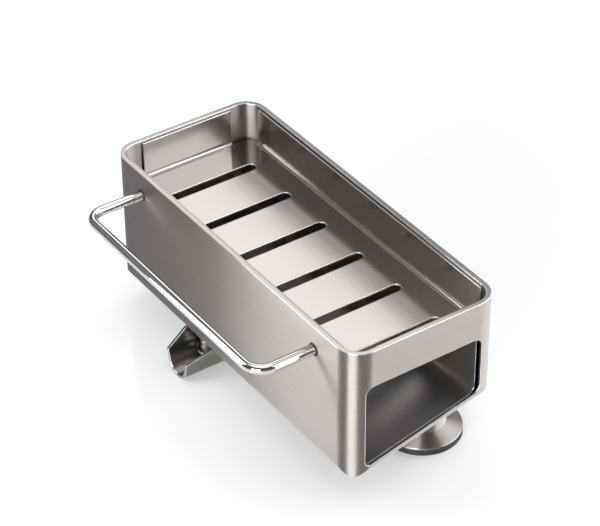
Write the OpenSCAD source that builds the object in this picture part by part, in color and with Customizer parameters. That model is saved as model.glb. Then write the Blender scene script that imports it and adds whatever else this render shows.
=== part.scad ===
// Stainless steel sink organizer: a slotted tray in a deep shell, over a sloped drip liner that drains
// through a swivelling spout, with a towel rail in front and two round feet behind.
// X runs along the shell, the rail and the spout are on the -Y side, and Z = 0 is the worktop.
// The origin lies on the worktop, under the middle of the whole organizer, rail included.

/* [Shell] */
// Length of the shell
shell_l = 251.5; // [235:0.5:300]
// Width of the shell
shell_w = 103; // [98:1:120]
// Free height between the worktop and the front wall's lower edge
under_gap = 22; // [21:0.5:30]
// Height of the front wall, from the rim down
front_h = 90; // [84:0.5:96]
// Height of the back wall, from the rim down
back_h = 66.5; // [66:0.5:76]
// Thickness of the shell's sheet
sheet_t = 1.5; // [1:0.1:1.6]
// Width of the folded rim
rim_t = 3; // [2.8:0.1:4]
// Depth of the fold inside the rim
hem_h = 24.5; // [6:0.5:24.5]
// Outer radius of the upright corners
corner_r = 14; // [10:0.5:16]
// Outer radius along the bottom edges
bottom_r = 4.5; // [3:0.5:5]

/* [End window] */
// Solid wall in front of the window
window_front = 10; // [8:0.5:16]
// Solid wall behind the window
window_back = 12.5; // [10:0.5:18]
// Distance from the rim down to the window
window_drop = 24.8; // [24:0.2:30]
// Height of the strip that is left under the window
window_sill = 5.5; // [5:0.5:8]
// Radius of the window's upper corners
window_r = 5.5; // [3:0.5:10]
// Radius of the window's lower back corner
window_back_r = 7; // [3:0.5:9]
// Radius of the window's lower front corner
window_front_r = 3; // [2:0.5:5]

/* [Tray] */
// Thickness of the tray's sheet
tray_t = 1.2; // [0.8:0.1:1.5]
// Free gap between the tray and the rim
tray_gap = 0.4; // [0.3:0.1:1.5]
// Distance from the rim down to the tray's top edge
tray_drop = 1.2; // [0.5:0.1:3]
// Depth of the tray, from its top edge to its floor
tray_depth = 24.8; // [20:0.1:26]
// Inner radius of the tray's bends
tray_bend_r = 3; // [0.8:0.1:3.2]
// Radius of the tray floor's corners
tray_corner_r = 13; // [8:0.5:14]
// Length of each long wall
long_wall_l = 225; // [200:1:226]
// Length of each end wall
end_wall_l = 64; // [50:1:72]
// Relief notch beside each bend
relief = 0.6; // [0.4:0.1:1]
// Number of drain slots
slot_count = 6; // [3:1:6]
// Width of a drain slot
slot_w = 7; // [4:0.5:8]
// Length of a drain slot
slot_l = 62; // [50:1:66]
// Distance from one slot to the next
slot_pitch = 37.9; // [30:0.1:38]
// Distance from the tray's end to the middle of the first slot
slot_start = 29.7; // [20:0.1:32]

/* [Tray ledges] */
// Length of each ledge
ledge_l = 190; // [140:1:200]
// Reach of each ledge under the tray
ledge_reach = 9.5; // [6:0.5:10]
// Height of each ledge's welded leg
ledge_h = 9; // [6:0.5:10]
// Thickness of the ledge's sheet
ledge_t = 1.2; // [0.8:0.1:1.6]

/* [Drip liner] */
// Thickness of the liner's sheet
liner_t = 0.8; // [0.6:0.1:1.2]
// Distance from the shell's back face to the liner's back wall
liner_back = 12; // [10:0.5:16]
// Distance from the bend under each end wall to the liner
liner_end = 0.1; // [0.1:0.1:3]
// Outer radius of the liner's back bend
liner_back_r = 7; // [4:0.5:9]

/* [Towel rail] */
// Diameter of the rail's rod
rail_d = 6.2; // [5:0.1:6.5]
// Distance between the rail's two arms
rail_span = 182; // [150:1:190]
// Distance from the middle of the shell to the middle of the rail
rail_shift = -2; // [-8:0.5:8]
// Distance from the front wall to the rail's middle line
rail_reach = 38.5; // [25:0.5:50]
// Distance from the rim down to the rail's middle line
rail_drop = 15.5; // [14:0.5:17]
// Radius of the rail's bends, on its middle line
rail_bend_r = 11; // [8:0.5:16]
// Outer diameter of the black rings on the rail
ring_d = 8; // [8:0.1:10]
// Thickness of the black rings' flange
ring_t = 0.5; // [0.5:0.1:1.2]
// Wall of the sleeve that lines each hole in the wall
sleeve_t = 0.5; // [0.4:0.1:0.7]
// Outer diameter of the retainers behind the wall
retainer_d = 11; // [10:0.5:14]
// Thickness of the retainers
retainer_t = 0.9; // [0.6:0.1:1]
// Length of rod that stands out behind the retainers
rod_end = 0.4; // [0.2:0.1:0.5]

/* [Drain] */
// Distance from the middle of the shell to the drain
drain_x = -36; // [-50:0.5:40]
// Free space between the drain's flange and the liner's front bend
drain_set = 0.1; // [0:0.1:6]
// Outer diameter of the drain tube
tube_d = 9; // [8:0.5:10]
// Wall of the drain tube
tube_wall = 0.8; // [0.6:0.1:1.2]
// Length of tube that stands out below the ring that holds the spout up
tube_lip = 1; // [0.5:0.5:2]
// Width of the drain tube's flange
flange_w = 0.8; // [0.6:0.1:1.4]
// Thickness of the drain tube's flange
flange_t = 0.8; // [0.5:0.1:1.2]
// Least wall of the lock nut
nut_wall = 1.5; // [1.2:0.1:2.2]
// Thickness of the lock nut
nut_t = 2.4; // [2:0.1:2.6]
// Least thickness of the wedge washer
washer_t = 0.8; // [0.6:0.1:1]
// Width of the wedge washer's ring
washer_w = 1.5; // [1:0.1:1.7]
// Free space between the ring that holds the spout up and the spout's walls
clip_gap = 0.35; // [0.3:0.05:1.5]
// Thickness of the ring that holds the spout up
clip_t = 1.2; // [0.8:0.1:1.6]

/* [Spout] */
// Thickness of the spout's sheet
spout_t = 1.5; // [1.2:0.1:1.8]
// Outer radius of the spout's round bottom
spout_r = 9.5; // [9:0.5:11]
// Slope of the spout's lower walls, from upright
spout_flare = 14; // [6:1:16]
// Slope of the spout's upper walls, from upright
wing_flare = 28; // [18:1:30]
// Height of the spout's upper walls, above their bend
wing_h = 7.3; // [5:0.1:8]
// Free height between the spout's upper edge and the shell
spout_gap = 0.85; // [0.4:0.05:2]
// Distance from the drain to the spout's tip
spout_tip = 24.5; // [20:0.5:30]
// Distance from the drain to the spout's closed end
spout_tail = 12; // [11:0.5:18]
// Distance that the slanted cut runs back from the tip
spout_slant = 15.5; // [10:0.5:16]
// Wall of the spout's hub
hub_wall = 1.8; // [1.2:0.1:2.2]
// Height of the spout's hub
hub_h = 7.6; // [6:0.1:8]

/* [Feet] */
// Distance from each end wall to the foot's middle
foot_end = 37; // [26:0.5:60]
// Distance from the back face to each foot
foot_in = 25; // [25:0.5:40]
// Diameter of the foot's base
base_d = 48.8; // [40:0.2:50]
// Diameter of the foot's post
post_d = 29; // [20:0.5:32]
// Wall of the foot's post
post_wall = 2; // [1.5:0.1:3]
// Height of the foot's base above the worktop
base_h = 8; // [6.5:0.1:10]
// Height of the base's upright lip
lip_h = 0.8; // [0.5:0.1:1.2]
// Height of the rubber pad
pad_h = 4; // [3:0.1:5]
// Depth of the two grooves round the pad
groove_d = 0.5; // [0.3:0.1:0.8]
// Diameter of the welded stud in the foot
stud_d = 6; // [5:0.5:8]
// Radius of the boss under the foot's base
boss_r = 10; // [6:0.5:12]
// Height of the spigot inside the foot's post
spigot_h = 3; // [2:0.5:5]
// Width of the flat ring that is left round the foot's post
shoulder_w = 0.3; // [0.2:0.1:1]
// Distance that the rubber pad stands out from the base
pad_out = 0.1; // [0:0.1:0.5]

/* [Hidden] */
$fn = 64;

// Clearances: moving pieces, parts that slip together, and parts that only lie against each other
move_gap = 0.3;
slip_gap = 0.08;
seat_gap = 0.02;
// Length by which a cut runs past what it cuts
past = 1;
// Arcs next to sloped sides are larger by this, so that they cross the sides instead of only touching them
arc_over = 0.004;
// Length that is longer than the whole organizer
far = 3 * shell_l;

steel = "#b9b6b2";
polished = "#dcdcdc";
liner_steel = "#7d7a76";
rubber = "#1c1c1c";

// The origin is under the middle of the overall width, so the shell stands behind it
shell_y = (rail_reach + rail_d / 2) / 2;
front_y = -shell_w / 2;
back_y = shell_w / 2;
slope = atan((front_h - back_h) / shell_w);
front_bottom = under_gap;
rim_h = under_gap + front_h;
// Lowest point of the round front edge, where the front wall turns into the slope
shell_low = front_bottom + bottom_r * (tan(slope) + 1 / cos(slope) - 1);

tray_top = rim_h - tray_drop;
tray_floor = tray_top - tray_depth;
tray_l = shell_l - 2 * (rim_t + tray_gap);
tray_w = shell_w - 2 * (rim_t + tray_gap);
ledge_top = tray_floor - tray_t - move_gap;
liner_top = ledge_top - ledge_t - move_gap;
liner_front_top = ledge_top - ledge_h - move_gap;
liner_front_r = bottom_r - sheet_t;
liner_x = shell_l / 2 - bottom_r - liner_end;

rail_z = rim_h - rail_drop;
rail_bore = rail_d + 2 * slip_gap;
sleeve_d = rail_bore + 2 * sleeve_t;
tube_bore = tube_d + 2 * slip_gap;
flange_d = tube_d + 2 * flange_w;
washer_d = tube_bore + 2 * washer_w;
drain_y = front_y + sheet_t + move_gap + liner_front_r + flange_d / 2 + drain_set;
nut_top = under(drain_y - washer_d / 2) - washer_t;
hub_top = nut_top - nut_t - move_gap;
clip_z = hub_top - hub_h - move_gap;
spout_top = shell_low - spout_gap;
spout_fold_z = spout_top - wing_h;
foot_x = shell_l / 2 - foot_end;
foot_y = back_y - foot_in;

// Height of the shell's sloped underside at a distance y from its middle line
function under(y) = front_bottom + (y - front_y) * tan(slope);

function unit(v) = v / norm(v);

// Tangent points and centre of the round at corner b of a convex outline, between a and c
function half_angle(a, b, c) = acos(unit(a - b) * unit(c - b)) / 2;
function round_in(a, b, c, r) = b + unit(a - b) * r / tan(half_angle(a, b, c));
function round_centre(a, b, c, r) = b + unit(unit(a - b) + unit(c - b)) * r / sin(half_angle(a, b, c));

// Convex outline with a true arc of its own radius at each corner
module rounded_outline(corners, radii, over = 0) {
    n = len(corners);
    before = [for (i = [0 : n - 1]) corners[(i + n - 1) % n]];
    after = [for (i = [0 : n - 1]) corners[(i + 1) % n]];
    polygon([for (i = [0 : n - 1], side = [0, 1])
        side == 0 ? round_in(before[i], corners[i], after[i], radii[i])
                  : round_in(after[i], corners[i], before[i], radii[i])]);
    for (i = [0 : n - 1])
        translate(round_centre(before[i], corners[i], after[i], radii[i]))
            circle(r = radii[i] + over);
}

module rounded_rectangle(l, w, r) {
    rounded_outline([[-l / 2, -w / 2], [l / 2, -w / 2], [l / 2, w / 2], [-l / 2, w / 2]], [r, r, r, r]);
}

// Extrudes an outline drawn in Y and Z along X, from x0 to x1
module along_x(x0, x1) {
    translate([x0, 0, 0]) rotate([90, 0, 90]) linear_extrude(x1 - x0) children();
}

// Extrudes an outline drawn in X and Z along Y, from y0 to y1
module along_y(y0, y1) {
    translate([0, y1, 0]) rotate([90, 0, 0]) linear_extrude(y1 - y0) children();
}

// Everything below the shell's sloped underside, lowered or raised by an upright distance
module below_slope(lift) {
    translate([0, front_y, front_bottom + lift]) rotate([slope, 0, 0])
        translate([-far / 2, -far / 2, -far]) cube([far, far, far]);
}

// Places a piece at the drain's upright axis
module at_drain() {
    translate([drain_x, drain_y, 0]) children();
}

// Shell outline drawn in by an inset: the upright corners, the sloped bottom and its rounded edges
module shell_solid(inset, top) {
    edge_r = bottom_r - inset;
    lift = inset / cos(slope);
    z_front = under(front_y + inset) + lift;
    z_back = under(back_y - inset) + lift;
    half_l = shell_l / 2 - inset;
    intersection() {
        linear_extrude(top)
            rounded_rectangle(shell_l - 2 * inset, shell_w - 2 * inset, corner_r - inset);
        along_x(-far / 2, far / 2)
            rounded_outline([[front_y + inset, z_front], [back_y - inset, z_back],
                [back_y - inset, far], [front_y + inset, far]], [edge_r, edge_r, edge_r, edge_r]);
        translate([0, front_y, front_bottom + lift]) rotate([slope, 0, 0]) along_y(-far, far)
            rounded_outline([[-half_l, 0], [half_l, 0], [half_l, far], [-half_l, far]],
                [edge_r, edge_r, edge_r, edge_r]);
    }
}

// Opening in the +X end wall: its lower edge follows the slope of the bottom
module window_cut() {
    y0 = front_y + window_front;
    y1 = back_y - window_back;
    top = rim_h - window_drop;
    along_x(shell_l / 2 - corner_r, shell_l / 2 + past)
        rounded_outline([[y0, under(y0) + window_sill], [y1, under(y1) + window_sill], [y1, top], [y0, top]],
            [window_front_r, window_back_r, window_r, window_r], arc_over);
}

// Both arms of the rail pass through the front wall here
module at_rail_arms() {
    for (side = [-1, 1])
        translate([rail_shift + side * rail_span / 2, front_y, rail_z])
            rotate([90, 0, 0]) children();
}

// Round pockets in the fold, which leave room for the retainers behind the outer sheet
module retainer_pockets() {
    at_rail_arms() translate([0, 0, -rim_t - past])
        cylinder(d = retainer_d + 2 * move_gap, h = rim_t - sheet_t + past);
}

module outer_shell() {
    color(steel)
    difference() {
        union() {
            difference() {
                shell_solid(0, rim_h);
                shell_solid(sheet_t, rim_h + past);
            }
            translate([0, 0, rim_h - hem_h]) linear_extrude(hem_h) difference() {
                rounded_rectangle(shell_l - sheet_t, shell_w - sheet_t, corner_r - sheet_t / 2);
                rounded_rectangle(shell_l - 2 * rim_t, shell_w - 2 * rim_t, corner_r - rim_t);
            }
        }
        retainer_pockets();
        window_cut();
        at_rail_arms() cylinder(d = sleeve_d + 2 * slip_gap, h = 3 * sheet_t, center = true);
        at_drain() cylinder(d = tube_bore, h = rim_h / 2);
    }
}

// One tray wall: the bend and the upright sheet above it, with its outer face at y = 0
module bent_wall(wall_l) {
    bend_out = tray_bend_r + tray_t;
    along_x(-wall_l / 2, wall_l / 2) {
        translate([-tray_t, tray_bend_r]) square([tray_t, tray_depth - tray_bend_r]);
        translate([-bend_out, tray_bend_r]) intersection() {
            difference() {
                circle(r = bend_out);
                circle(r = tray_bend_r);
            }
            translate([0, -bend_out]) square(bend_out);
        }
    }
}

// Drain slot with round ends
module slot() {
    straight = slot_l - slot_w;
    square([slot_w, straight], center = true);
    for (side = [-1, 1])
        translate([0, side * straight / 2]) circle(d = slot_w);
}

// Tray floor: the full outline at its round corners, cut back to the bends along the four walls
module tray_floor_outline() {
    bend_out = tray_bend_r + tray_t;
    difference() {
        rounded_rectangle(tray_l, tray_w, tray_corner_r);
        for (side = [-1, 1]) {
            translate([0, side * (tray_w / 2 - bend_out / 2)])
                square([long_wall_l + 2 * relief, bend_out], center = true);
            translate([side * (tray_l / 2 - bend_out / 2), 0])
                square([bend_out, end_wall_l + 2 * relief], center = true);
        }
        for (i = [0 : slot_count - 1])
            translate([-tray_l / 2 + slot_start + i * slot_pitch, 0])
                slot();
    }
}

module slotted_tray() {
    color(steel)
    translate([0, 0, tray_floor]) {
        translate([0, 0, -tray_t]) linear_extrude(tray_t) tray_floor_outline();
        for (turn = [0, 180]) rotate([0, 0, turn]) {
            translate([0, tray_w / 2, 0]) bent_wall(long_wall_l);
            translate([tray_l / 2, 0, 0]) rotate([0, 0, -90]) bent_wall(end_wall_l);
        }
    }
}

// Angle strip that is welded inside a long wall, on the +Y side, and carries the tray's floor
module ledge() {
    color(steel)
    along_x(-ledge_l / 2, ledge_l / 2)
        translate([back_y - sheet_t - seat_gap, ledge_top]) {
            translate([-ledge_reach, -ledge_t]) square([ledge_reach, ledge_t]);
            translate([-ledge_t, -ledge_h]) square([ledge_t, ledge_h]);
        }
}

module tray_ledge_front() {
    rotate([0, 0, 180]) ledge();
}

module tray_ledge_back() {
    ledge();
}

// Space inside the liner, or its outside with inset 0, with room above the walls
module liner_solid(inset, x_end) {
    lift = (sheet_t + inset) / cos(slope) + seat_gap;
    y0 = front_y + sheet_t + move_gap + inset;
    y1 = back_y - liner_back - inset;
    x0 = -liner_x + inset;
    upright_r = corner_r - sheet_t - move_gap - inset;
    front_r = liner_front_r - inset;
    back_r = liner_back_r - inset;
    intersection() {
        linear_extrude(liner_top + 2 * inset)
            rounded_outline([[x0, y0], [x_end, y0], [x_end, y1], [x0, y1]],
                [upright_r, upright_r, liner_t, back_r]);
        along_x(-far / 2, far / 2)
            rounded_outline([[y0, under(y0) + lift], [y1, under(y1) + lift], [y1, far], [y0, far]],
                [front_r, back_r, back_r, front_r]);
    }
}

module drip_liner() {
    color(liner_steel)
    difference() {
        liner_solid(0, liner_x);
        liner_solid(liner_t, shell_l);
        translate([-far / 2, front_y, liner_front_top])
            cube([far, sheet_t + ledge_reach + 2 * move_gap, far]);
        at_drain() cylinder(d = tube_bore, h = rim_h / 2);
    }
}

module towel_rail() {
    arm_l = rail_reach - rail_bend_r;
    arm_in = sheet_t + retainer_t + rod_end;
    bar_l = rail_span - 2 * rail_bend_r;
    color(polished)
    translate([rail_shift, front_y, rail_z]) {
        for (side = [-1, 1]) {
            translate([side * rail_span / 2, arm_in, 0])
                rotate([90, 0, 0]) cylinder(d = rail_d, h = arm_l + arm_in);
            translate([side * bar_l / 2, -arm_l, 0])
                rotate([0, 0, side > 0 ? -90 : 180])
                    rotate_extrude(angle = 90) translate([rail_bend_r, 0]) circle(d = rail_d);
        }
        translate([-bar_l / 2, -rail_reach, 0])
            rotate([0, 90, 0]) cylinder(d = rail_d, h = bar_l);
    }
}

// Thin black ring round each arm, with a sleeve that lines the hole in the wall
module rail_rings() {
    color(rubber)
    at_rail_arms() difference() {
        union() {
            translate([0, 0, seat_gap]) cylinder(d = ring_d, h = ring_t);
            translate([0, 0, -sheet_t]) cylinder(d = sleeve_d, h = sheet_t + ring_t / 2);
        }
        cylinder(d = rail_bore, h = 4 * sheet_t, center = true);
    }
}

// Push-on retainer behind the wall on each arm
module rail_retainers() {
    color(polished)
    at_rail_arms() translate([0, 0, -sheet_t - seat_gap - retainer_t]) difference() {
        cylinder(d = retainer_d, h = retainer_t);
        translate([0, 0, -past]) cylinder(d = rail_bore, h = retainer_t + 2 * past);
    }
}

// Upright tube with a flange that lies flat on the sloped liner
module drain_tube() {
    flange_lift = (sheet_t + liner_t) / cos(slope) + 2 * seat_gap;
    tube_mouth = clip_z - clip_t - tube_lip;
    color(steel)
    at_drain() difference() {
        union() {
            translate([0, 0, tube_mouth])
                cylinder(d = tube_d, h = under(drain_y) + flange_lift - tube_mouth);
            translate([0, 0, under(drain_y) + flange_lift])
                rotate([slope, 0, 0]) cylinder(d = flange_d, h = flange_t);
        }
        cylinder(d = tube_d - 2 * tube_wall, h = rim_h);
    }
}

// Rubber washer between the sloped underside and the level nut
module drain_washer() {
    color(rubber)
    intersection() {
        at_drain() difference() {
            translate([0, 0, nut_top + seat_gap]) cylinder(d = washer_d, h = rim_h / 2);
            cylinder(d = tube_bore, h = rim_h);
        }
        below_slope(-seat_gap);
    }
}

module drain_nut() {
    color(polished)
    at_drain() translate([0, 0, nut_top - nut_t]) difference() {
        cylinder(d = (tube_bore + 2 * nut_wall) / cos(30), h = nut_t, $fn = 6);
        translate([0, 0, -past]) cylinder(d = tube_bore, h = nut_t + 2 * past);
    }
}

// Ring in a groove at the tube's mouth, on which the spout's hub turns
module spout_clip() {
    clip_r = spout_wall_x(clip_z - clip_t, spout_t) - clip_gap;
    color(polished)
    at_drain() translate([0, 0, clip_z - clip_t]) difference() {
        cylinder(r = clip_r, h = clip_t);
        translate([0, 0, -past]) cylinder(d = tube_bore, h = clip_t + 2 * past);
    }
}

// Half width of the spout's lower wall at a height, drawn in by an inset
function spout_wall_x(z, inset) = (spout_r - inset) / cos(spout_flare) + (z - spout_r) * tan(spout_flare);

// The same for the upper wall, which leaves the lower one at the fold
function spout_wing_x(z, inset) =
    spout_wall_x(spout_fold_z, 0) + (z - spout_fold_z) * tan(wing_flare) - inset / cos(wing_flare);

// Height at which the drawn-in upper and lower walls meet
function spout_meet_z(inset) =
    spout_fold_z + (spout_wing_x(spout_fold_z, inset) - spout_wall_x(spout_fold_z, inset))
        / (tan(spout_flare) - tan(wing_flare));

// Cross-section of the spout, in X and Z, filled in: a round bottom and walls that open in two steps
module spout_section(inset, top) {
    meet_z = spout_meet_z(inset);
    touch = [(spout_r - inset) * cos(spout_flare), spout_r - (spout_r - inset) * sin(spout_flare)];
    right = [touch, [spout_wall_x(meet_z, inset), meet_z], [spout_wing_x(top, inset), top]];
    left = [for (i = [2 : -1 : 0]) [-right[i][0], right[i][1]]];
    translate([0, spout_r + arc_over]) circle(r = spout_r - inset + arc_over);
    polygon(concat(right, left));
}

module drain_spout() {
    slant = atan((spout_top - spout_fold_z) / spout_slant);
    color(steel)
    at_drain() difference() {
        union() {
            difference() {
                along_y(-spout_tip, spout_tail) spout_section(0, spout_top);
                along_y(-spout_tip - past, spout_tail - spout_t) spout_section(spout_t, spout_top + past);
                translate([-far / 2, -spout_tip, spout_fold_z]) rotate([slant, 0, 0])
                    translate([0, -far / 2, 0]) cube([far, far / 2 + spout_slant / cos(slant), far]);
            }
            intersection() {
                along_y(0, spout_tail - spout_t / 2) spout_section(spout_t / 2, spout_top);
                translate([-far / 2, -far / 2, hub_top - spout_t]) cube([far, far, spout_t]);
            }
            translate([0, 0, clip_z + move_gap])
                cylinder(d = tube_bore + 2 * hub_wall, h = hub_top - clip_z - move_gap);
        }
        translate([0, 0, clip_z]) cylinder(d = tube_bore, h = far);
    }
}

// Right or left foot: side is 1 or -1
module at_foot(side) {
    translate([side * foot_x, foot_y, 0]) children();
}

// Threaded stud that is welded under the shell and holds each foot together
module foot_studs() {
    color(polished)
    intersection() {
        for (side = [-1, 1])
            at_foot(side) translate([0, 0, pad_h / 2]) cylinder(d = stud_d, h = rim_h / 2);
        below_slope(-seat_gap);
    }
}

// Tube between the base and the shell, cut off at the slope of the underside
module foot_post(side) {
    color(steel)
    intersection() {
        at_foot(side) translate([0, 0, base_h + seat_gap]) difference() {
            cylinder(d = post_d, h = rim_h / 2);
            translate([0, 0, -past]) cylinder(d = post_d - 2 * post_wall, h = rim_h);
        }
        below_slope(-seat_gap);
    }
}

// Turned base: a boss in the pad, a thin lip, a flared top and a spigot inside the post
module foot_base(side) {
    shoulder_r = post_d / 2 + shoulder_w;
    color(steel)
    at_foot(side) rotate_extrude(convexity = 4)
        polygon([[stud_d / 2 + slip_gap, pad_h / 2],
            [boss_r, pad_h / 2],
            [boss_r, pad_h],
            [base_d / 2, pad_h],
            [base_d / 2, pad_h + lip_h],
            [shoulder_r, base_h],
            [post_d / 2 - post_wall - slip_gap, base_h],
            [post_d / 2 - post_wall - slip_gap, base_h + spigot_h],
            [stud_d / 2 + slip_gap, base_h + spigot_h]]);
}

// Rubber pad with two grooves round its edge, closed below, open above for the base's boss
module foot_pad(side) {
    pad_r = base_d / 2 + pad_out;
    color(rubber)
    at_foot(side) difference() {
        cylinder(r = pad_r, h = pad_h - seat_gap);
        translate([0, 0, pad_h / 2 - seat_gap]) cylinder(r = boss_r + slip_gap, h = pad_h);
        for (z = [pad_h / 3, 2 * pad_h / 3])
            translate([0, 0, z]) rotate_extrude()
                translate([pad_r, 0]) circle(r = groove_d);
    }
}

module foot_post_right() { foot_post(1); }
module foot_post_left() { foot_post(-1); }
module foot_base_right() { foot_base(1); }
module foot_base_left() { foot_base(-1); }
module foot_pad_right() { foot_pad(1); }
module foot_pad_left() { foot_pad(-1); }

translate([0, shell_y, 0]) {
    outer_shell();
    slotted_tray();
    tray_ledge_front();
    tray_ledge_back();
    drip_liner();
    towel_rail();
    rail_rings();
    rail_retainers();
    drain_tube();
    drain_washer();
    drain_nut();
    drain_spout();
    spout_clip();
    foot_studs();
    foot_post_right();
    foot_post_left();
    foot_base_right();
    foot_base_left();
    foot_pad_right();
    foot_pad_left();
}
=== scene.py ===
"""Looks of the sink organizer: finish of every surface, soft studio light and the photograph's camera.

Lengths are in metres.
"""

import math

import bpy
from mathutils import Matrix, Vector

# The photograph's camera, in the part's frame
IMAGE_WIDTH_PX = 600
FOCAL_PX = 2430.88
SENSOR_MM = 36.0
CAMERA_AT = Vector((0.95525, -0.6330, 0.9412))
CAMERA_AZIMUTH = math.radians(55.579)
CAMERA_ELEVATION = math.radians(36.653)
CAMERA_ROLL = math.radians(-0.424)
CAMERA_CLIP_START = 0.01

# Modelled rounds along edges that turn by more than an angle, after corners that coincide are joined
EDGE_ROUND = 0.00025
EDGE_SEGMENTS = 2
EDGE_ANGLE = math.radians(40)
WELD_DISTANCE = 0.000002

# Pieces without modelled rounds: the large folded sheets, the rail and fixings that hardly show
SHARP_PIECES = (
    "outer_shell",
    "slotted_tray",
    "drip_liner",
    "towel_rail",
    "drain_tube",
    "drain_washer",
    "foot_studs",
)

# Shaded rounds along the edges of brushed and satin steel, where it is worn to a shine and its colour is
# painted lighter as a highlight
WEAR_WIDTH = 0.0007
WEAR_SAMPLES = 6
WORN_AND_HIGHLIGHT_STEEL = (0.90, 0.89, 0.88)
WORN_SHARE_OF_ROUGHNESS = 0.35

# Agreement of the shaded normal with the face's own one where the wear and the painted edge highlight start
# and where they are full
WEAR_AND_HIGHLIGHT_STARTS = 0.998
WEAR_AND_HIGHLIGHT_FULL = 0.96

# Upright part of the normal where a face starts to count as level and where it counts in full
LEVEL_STARTS = 0.8
LEVEL_FULL = 0.98

# Roughness of level faces, such as the ground top of the rim, where a steel has none of its own
TOP_ROUGHNESS = 0.12

# Grain, in waves a metre along X, Y and Z: level on walls, along X on floors and along Y on the spout
WALL_GRAIN = (10.0, 10.0, 1000.0)
FLOOR_GRAIN = (3.0, 900.0, 3.0)
SPOUT_GRAIN = (900.0, 9.0, 900.0)

# Share of the fine lines in the grain, and the number of coarse lines for each fine one
FINE_SHARE = 0.65
COARSE_SCALE = 0.22

# Changes of the roughness: by the grain, for each unit of its streaks, and by smudges
SCRATCHES = 0.6
SMUDGES = 0.02

# Direction in which straight grain blurs reflections: upright on walls and along Y on level faces
ACROSS_GRAIN = (0.0, 0.02, 1.0)

# Turns the blur of a turned part from along its grain to across it
QUARTER_TURN = 0.25

# Marks that run no particular way, in waves a metre along X, Y and Z
SMUDGE_SCALE = (14.0, 14.0, 14.0)
HANDLING_SCALE = (60.0, 60.0, 60.0)
DUST_SCALE = (90.0, 90.0, 90.0)
SKIN_SCALE = (2500.0, 2500.0, 2500.0)

# Limits between which nearly all of a noise lies
NOISE_LOW = 0.3
NOISE_HIGH = 0.7

# Height of the relief that a bump of strength 1 gives
RELIEF_HEIGHT = 0.0001

# Soft light panels of the studio: their sides, their lower and upper ends and the width of their soft
# edges, all in degrees, and their strength. Azimuth 0 is +X and 90 is +Y
PANELS = {
    "back_left": ((100, 168), (18, 75), 8, 0.35),
    "back_right": ((24, 105), (0, 50), 3, 3.9),
    "front": ((-76, -40), (-4, 24), 3, 15.0),
    "left": ((-175, -115), (15, 60), 8, 0.2),
    "overhead": ((-180, 180), (62, 110), 8, 1.7),
}

# Light of the studio away from the panels
STUDIO_GLOOM = 0.13

# Lamps near the object: where they are, where they aim, their size and their power. The first one gives
# the mirrored edge across the tray's floor, the second the change of light along the rail's wall
LAMPS = (
    ("over_tray", (-0.36, 0.194, 0.446), (-0.36, 0.194, 0.0), (0.42, 0.24), 0.47),
    ("left_low", (-0.085, -0.22, 0.19), (0.07, -0.03, 0.16), (0.11, 0.28), 0.40),
)

# Floor. Its glow is the strength of the light it gives off to camera, glossy and transmission rays
FLOOR_SIZE = 8.0
FLOOR_COLOUR = (0.8, 0.8, 0.8)
FLOOR_ROUGHNESS = 0.12
FLOOR_GLOW = 0.18


def scaled(times, values):
    return tuple(times * value for value in values)


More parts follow.
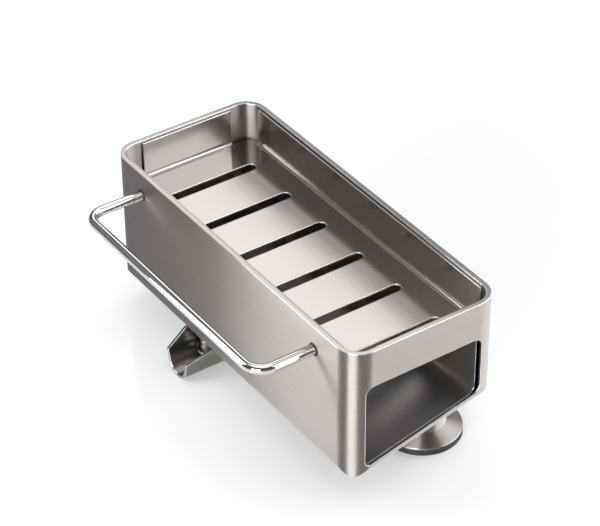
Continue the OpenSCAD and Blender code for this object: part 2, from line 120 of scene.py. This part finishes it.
class NodeTree:
    """Short calls for building one material or world node tree."""

    def __init__(self, owner):
        owner.use_nodes = True
        self.tree = owner.node_tree
        self.tree.nodes.clear()

    def add(self, kind, **settings):
        node = self.tree.nodes.new("ShaderNode" + kind)
        for name, value in settings.items():
            setattr(node, name, value)
        return node

    def set(self, node, **values):
        for name, value in values.items():
            node.inputs[name.replace("_", " ")].default_value = value

    def link(self, output, node, socket):
        self.tree.links.new(output, node.inputs[socket])

    def noise(self, scale, detail=3.0, roughness=0.55):
        """Noise on the object. Its scale is in waves a metre along X, Y and Z."""
        mapping = self.add("Mapping")
        self.set(mapping, Scale=scale)
        self.link(self.add("TexCoord").outputs["Object"], mapping, "Vector")
        node = self.add("TexNoise")
        self.set(node, Scale=1.0, Detail=detail, Roughness=roughness)
        self.link(mapping.outputs["Vector"], node, "Vector")
        return node.outputs["Fac"]

    def remap(self, value, low_in, high_in, low_out, high_out, kind="LINEAR"):
        node = self.add("MapRange", interpolation_type=kind)
        self.set(node, From_Min=low_in, From_Max=high_in, To_Min=low_out, To_Max=high_out)
        self.link(value, node, "Value")
        return node.outputs["Result"]

    def spread(self, noise, low, high):
        """Noise spread over a range."""
        return self.remap(noise, NOISE_LOW, NOISE_HIGH, low, high)

    def compute(self, operation, first, second):
        """Result of a Math node on two values, each a number or the output of a node."""
        node = self.add("Math", operation=operation)
        for index, value in enumerate((first, second)):
            if isinstance(value, (int, float)):
                node.inputs[index].default_value = value
            else:
                self.link(value, node, index)
        return node.outputs["Value"]

    def band(self, value, low, high, soft):
        """1 between two limits and 0 outside, with soft sides."""
        rise = self.remap(value, low - soft, low + soft, 0.0, 1.0, "SMOOTHSTEP")
        fall = self.remap(value, high - soft, high + soft, 1.0, 0.0, "SMOOTHSTEP")
        return self.compute("MULTIPLY", rise, fall)

    def mix(self, factor, first, second):
        """Colour between two others, each a constant or the output of a node."""
        node = self.add("Mix", data_type="RGBA")
        for socket, colour in (("A", first), ("B", second)):
            if isinstance(colour, tuple):
                node.inputs[socket].default_value = (*colour, 1.0)
            else:
                self.link(colour, node, socket)
        self.link(factor, node, "Factor")
        return node.outputs["Result"]

    def relief(self, height, strength):
        """Bump node for a height. Its Normal socket is still free."""
        node = self.add("Bump")
        self.set(node, Strength=strength, Distance=RELIEF_HEIGHT)
        self.link(height, node, "Height")
        return node

    def face_normal(self):
        return self.add("NewGeometry").outputs["Normal"]

    def rounded_normal(self):
        """Normal that turns over the edges, as on sheet whose burrs are rounded off."""
        rounded = self.add("Bevel", samples=WEAR_SAMPLES)
        self.set(rounded, Radius=WEAR_WIDTH)
        return rounded.outputs["Normal"]

    def worn_and_highlight_edges(self, rounded):
        """1 where the rounded normal has left the face's own one, and 0 elsewhere: the edges that are worn
        and painted lighter as a highlight.
        """
        agreement = self.add("VectorMath", operation="DOT_PRODUCT")
        self.link(rounded, agreement, 0)
        self.link(self.face_normal(), agreement, 1)
        return self.remap(agreement.outputs["Value"], WEAR_AND_HIGHLIGHT_STARTS, WEAR_AND_HIGHLIGHT_FULL, 0.0, 1.0)


def new_material(name):
    """A material with its nodes and the Principled shader of its surface."""
    material = bpy.data.materials.new(name)
    nodes = NodeTree(material)
    shader = nodes.add("BsdfPrincipled")
    output = nodes.add("OutputMaterial")
    nodes.link(shader.outputs["BSDF"], output, "Surface")
    return material, nodes, shader


def grain_lines(nodes, grain):
    """Fine and coarse lines along the grain."""
    fine = nodes.noise(grain, detail=5.0, roughness=0.65)
    coarse = nodes.noise(scaled(COARSE_SCALE, grain))
    fine_part = nodes.compute("MULTIPLY", fine, FINE_SHARE)
    coarse_part = nodes.compute("MULTIPLY", coarse, 1.0 - FINE_SHARE)
    return nodes.compute("ADD", fine_part, coarse_part)


def across_grain(nodes):
    direction = nodes.add("CombineXYZ")
    for axis, part in zip("XYZ", ACROSS_GRAIN):
        direction.inputs[axis].default_value = part
    return direction.outputs["Vector"]


def round_grain(nodes, centre):
    """Level direction along the grain of a turned part, which runs round an upright axis."""
    outward = nodes.add("VectorMath", operation="SUBTRACT")
    nodes.link(nodes.add("TexCoord").outputs["Object"], outward, 0)
    outward.inputs[1].default_value = (*centre, 0.0)
    around = nodes.add("VectorMath", operation="CROSS_PRODUCT")
    around.inputs[0].default_value = (0.0, 0.0, 1.0)
    nodes.link(outward.outputs["Vector"], around, 1)
    return around.outputs["Vector"]


def steel_roughness(nodes, lines, edges, streaks, roughness, level_roughness):
    """Roughness of walls and of level faces, with scratches and smudges, and lower along worn edges."""
    scratches = nodes.spread(lines, -SCRATCHES * streaks, SCRATCHES * streaks)
    smudges = nodes.spread(nodes.noise(SMUDGE_SCALE), -SMUDGES, SMUDGES)
    marks = nodes.compute("ADD", scratches, smudges)
    facing = nodes.add("SeparateXYZ")
    nodes.link(nodes.face_normal(), facing, "Vector")
    plain = nodes.remap(facing.outputs["Z"], LEVEL_STARTS, LEVEL_FULL, roughness, level_roughness)
    polish = nodes.remap(edges, 0.0, 1.0, 1.0, WORN_SHARE_OF_ROUGHNESS)
    return nodes.compute("MULTIPLY", nodes.compute("ADD", marks, plain), polish)


def steel(name, colour, roughness, grain, anisotropy, streaks=0.05, bump=0.04,
          level_roughness=TOP_ROUGHNESS, turned_about=None):
    """Brushed or satin steel. turned_about is the X and Y of a turned part's upright axis."""
    material, nodes, shader = new_material(name)
    nodes.set(shader, Metallic=1.0, Anisotropic=anisotropy)
    lines = grain_lines(nodes, grain)
    rounded = nodes.rounded_normal()
    edges = nodes.worn_and_highlight_edges(rounded)

    dark = scaled(1.0 - streaks, colour)
    light = scaled(1.0 + streaks, colour)
    brushed = nodes.mix(nodes.spread(lines, 0.0, 1.0), dark, light)
    # Edges painted lighter: partly wear, partly a painted highlight along each edge
    nodes.link(nodes.mix(edges, brushed, WORN_AND_HIGHLIGHT_STEEL), shader, "Base Color")
    gloss = steel_roughness(nodes, lines, edges, streaks, roughness, level_roughness)
    nodes.link(gloss, shader, "Roughness")

    if turned_about:
        nodes.link(round_grain(nodes, turned_about), shader, "Tangent")
        nodes.set(shader, Anisotropic_Rotation=QUARTER_TURN)
    else:
        nodes.link(across_grain(nodes), shader, "Tangent")

    relief = nodes.relief(lines, bump)
    nodes.link(rounded, relief, "Normal")
    nodes.link(relief.outputs["Normal"], shader, "Normal")
    return material


def shell_steel():
    """Walls with strong level brushing."""
    return steel(
        "shell_steel_brushed",
        colour=(0.41, 0.389, 0.376),
        roughness=0.55,
        grain=WALL_GRAIN,
        anisotropy=1.0,
        streaks=0.10)


def tray_steel():
    """Smoother sheet, which mirrors the lamp over it."""
    return steel(
        "tray_steel_satin",
        colour=(0.46, 0.437, 0.422),
        roughness=0.24,
        grain=FLOOR_GRAIN,
        anisotropy=0.3,
        streaks=0.03,
        bump=0.008)


def liner_steel():
    """Plain sheet with hardly any grain."""
    return steel(
        "liner_steel_satin",
        colour=(0.46, 0.437, 0.42),
        roughness=0.42,
        grain=FLOOR_GRAIN,
        anisotropy=0.0,
        streaks=0.02,
        bump=0.01,
        level_roughness=0.3)


def spout_steel():
    """Sheet painted dark as shade, for the shade under the shell, with grain along the trough."""
    return steel(
        "spout_steel_painted_shade",
        # Dark colour is painted shade: the spout, tube and clip sit in the shade under the shell
        colour=(0.24, 0.229, 0.218),
        roughness=0.3,
        grain=SPOUT_GRAIN,
        anisotropy=0.3)


def upright_axis(piece):
    """X and Y of a round piece's axis: the middle of its box."""
    corners = [Vector(corner) for corner in piece.bound_box]
    middle = sum(corners, Vector()) / len(corners)
    return middle.x, middle.y


def foot_steel(side):
    """Turned steel, whose grain runs round the foot."""
    return steel(
        "foot_steel_" + side,
        colour=(0.44, 0.418, 0.402),
        roughness=0.6,
        grain=WALL_GRAIN,
        anisotropy=1.0,
        level_roughness=0.45,
        turned_about=upright_axis(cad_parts["foot_base_" + side]))


def polished_steel():
    """Polished rod and small fixings, with faint handling marks."""
    material, nodes, shader = new_material("rail_polished")
    nodes.set(shader, Metallic=1.0)
    clean = (0.68, 0.665, 0.65)
    handled = scaled(0.96, clean)
    marks = nodes.noise(HANDLING_SCALE, detail=6.0, roughness=0.6)
    nodes.link(nodes.mix(marks, handled, clean), shader, "Base Color")
    nodes.link(nodes.spread(marks, low=0.056, high=0.098), shader, "Roughness")
    return material


def black_rubber():
    """Matt moulded rubber with a fine skin and a little dust."""
    material, nodes, shader = new_material("rubber_black")
    clean = (0.02, 0.02, 0.021)
    dusty = scaled(1.5, clean)
    dust = nodes.noise(DUST_SCALE, detail=4.0)
    nodes.link(nodes.mix(dust, clean, dusty), shader, "Base Color")
    nodes.link(nodes.spread(dust, low=0.5, high=0.62), shader, "Roughness")
    skin = nodes.relief(nodes.noise(SKIN_SCALE), strength=0.15)
    nodes.link(skin.outputs["Normal"], shader, "Normal")
    return material


def round_edges(piece):
    """Small rounds along a piece's edges, with modifiers."""
    weld = piece.modifiers.new("weld", "WELD")
    weld.merge_threshold = WELD_DISTANCE
    bevel = piece.modifiers.new("edges", "BEVEL")
    bevel.width = EDGE_ROUND
    bevel.segments = EDGE_SEGMENTS
    bevel.limit_method = "ANGLE"
    bevel.angle_limit = EDGE_ANGLE
    bevel.harden_normals = True


def dress_pieces():
    """Gives every node its material, and most of them rounded edges."""
    shell = shell_steel()
    spout = spout_steel()
    chrome = polished_steel()
    black = black_rubber()
    materials = {
        "outer_shell": shell,
        "slotted_tray": tray_steel(),
        "tray_ledge_front": shell,
        "tray_ledge_back": shell,
        "drip_liner": liner_steel(),
        "towel_rail": chrome,
        "rail_rings": black,
        "rail_retainers": chrome,
        "drain_tube": spout,
        "drain_washer": black,
        "drain_nut": chrome,
        "drain_spout": spout,
        "spout_clip": spout,
        "foot_studs": chrome,
    }
    for side in ("right", "left"):
        foot = foot_steel(side)
        materials["foot_post_" + side] = foot
        materials["foot_base_" + side] = foot
        materials["foot_pad_" + side] = black
    for name, material in materials.items():
        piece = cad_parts[name]
        piece.data.materials.clear()
        piece.data.materials.append(material)
        if name not in SHARP_PIECES:
            round_edges(piece)


def make_camera():
    """Camera fitted to the photograph."""
    right = Vector((math.cos(CAMERA_AZIMUTH), math.sin(CAMERA_AZIMUTH), 0.0))
    back = Vector((
        math.sin(CAMERA_AZIMUTH) * math.cos(CAMERA_ELEVATION),
        -math.cos(CAMERA_AZIMUTH) * math.cos(CAMERA_ELEVATION),
        math.sin(CAMERA_ELEVATION)))
    up = back.cross(right)
    turn = Matrix((right, up, back)).transposed()
    turn = turn @ Matrix.Rotation(CAMERA_ROLL, 3, "Z")
    data = bpy.data.cameras.new("photo_camera")
    data.sensor_width = SENSOR_MM
    data.lens = FOCAL_PX / IMAGE_WIDTH_PX * SENSOR_MM
    data.clip_start = CAMERA_CLIP_START
    camera = bpy.data.objects.new("photo_camera", data)
    camera.matrix_world = Matrix.Translation(CAMERA_AT) @ turn.to_4x4()
    bpy.context.scene.collection.objects.link(camera)
    bpy.context.scene.camera = camera


def make_world():
    """Dark studio with soft light panels round the object."""
    world = bpy.data.worlds.new("studio")
    bpy.context.scene.world = world
    nodes = NodeTree(world)
    direction = nodes.add("SeparateXYZ")
    nodes.link(nodes.add("TexCoord").outputs["Generated"], direction, "Vector")
    turn = nodes.compute("ARCTAN2", direction.outputs["Y"], direction.outputs["X"])
    rise = nodes.compute("ARCSINE", direction.outputs["Z"], 0.0)
    azimuth = nodes.compute("MULTIPLY", turn, math.degrees(1.0))
    height = nodes.compute("MULTIPLY", rise, math.degrees(1.0))
    light = STUDIO_GLOOM
    for sides, ends, edge, strength in PANELS.values():
        panel = nodes.compute("MULTIPLY", nodes.band(azimuth, *sides, edge), nodes.band(height, *ends, edge))
        light = nodes.compute("ADD", nodes.compute("MULTIPLY", panel, strength), light)
    background = nodes.add("Background")
    nodes.link(light, background, "Strength")
    output = nodes.add("OutputWorld")
    nodes.link(background.outputs["Background"], output, "Surface")


def add_softbox(name, at, aim, size, power):
    """Area lamp at a point, facing another, out of the camera's sight."""
    data = bpy.data.lights.new(name, "AREA")
    data.shape = "RECTANGLE"
    data.size, data.size_y = size
    data.energy = power
    lamp = bpy.data.objects.new(name, data)
    lamp.location = at
    lamp.rotation_euler = (Vector(aim) - Vector(at)).to_track_quat("-Z", "Y").to_euler()
    lamp.visible_camera = False
    bpy.context.scene.collection.objects.link(lamp)


def floor_white():
    """Pale gloss that glows for camera, glossy and transmission rays."""
    material = bpy.data.materials.new("floor_white")
    nodes = NodeTree(material)
    shader = nodes.add("BsdfPrincipled")
    nodes.set(shader, Base_Color=(*FLOOR_COLOUR, 1.0), Roughness=FLOOR_ROUGHNESS)
    glow = nodes.add("Emission")
    path = nodes.add("LightPath")
    mirrored = nodes.compute("MAXIMUM", path.outputs["Is Glossy Ray"], path.outputs["Is Transmission Ray"])
    seen = nodes.compute("MAXIMUM", path.outputs["Is Camera Ray"], mirrored)
    nodes.link(nodes.compute("MULTIPLY", seen, FLOOR_GLOW), glow, "Strength")
    both = nodes.add("AddShader")
    nodes.link(shader.outputs["BSDF"], both, 0)
    nodes.link(glow.outputs["Emission"], both, 1)
    output = nodes.add("OutputMaterial")
    nodes.link(both.outputs["Shader"], output, "Surface")
    return material


def make_floor():
    """Pale floor that keeps the object's shadow and a faint reflection of it."""
    half = FLOOR_SIZE / 2
    corners = [(-half, -half, 0), (half, -half, 0), (half, half, 0), (-half, half, 0)]
    mesh = bpy.data.meshes.new("floor")
    mesh.from_pydata(corners, [], [(0, 1, 2, 3)])
    mesh.materials.append(floor_white())
    floor = bpy.data.objects.new("floor", mesh)
    bpy.context.scene.collection.objects.link(floor)


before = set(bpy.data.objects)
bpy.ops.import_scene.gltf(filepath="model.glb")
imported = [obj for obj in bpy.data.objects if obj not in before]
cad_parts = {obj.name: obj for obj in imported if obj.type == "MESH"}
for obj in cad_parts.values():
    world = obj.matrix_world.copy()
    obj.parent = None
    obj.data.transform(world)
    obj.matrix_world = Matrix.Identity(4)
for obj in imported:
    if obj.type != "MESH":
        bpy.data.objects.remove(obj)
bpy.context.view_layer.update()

dress_pieces()
bpy.context.scene.view_settings.view_transform = "Standard"
make_camera()
make_world()
make_floor()
for lamp_settings in LAMPS:
    add_softbox(*lamp_settings)
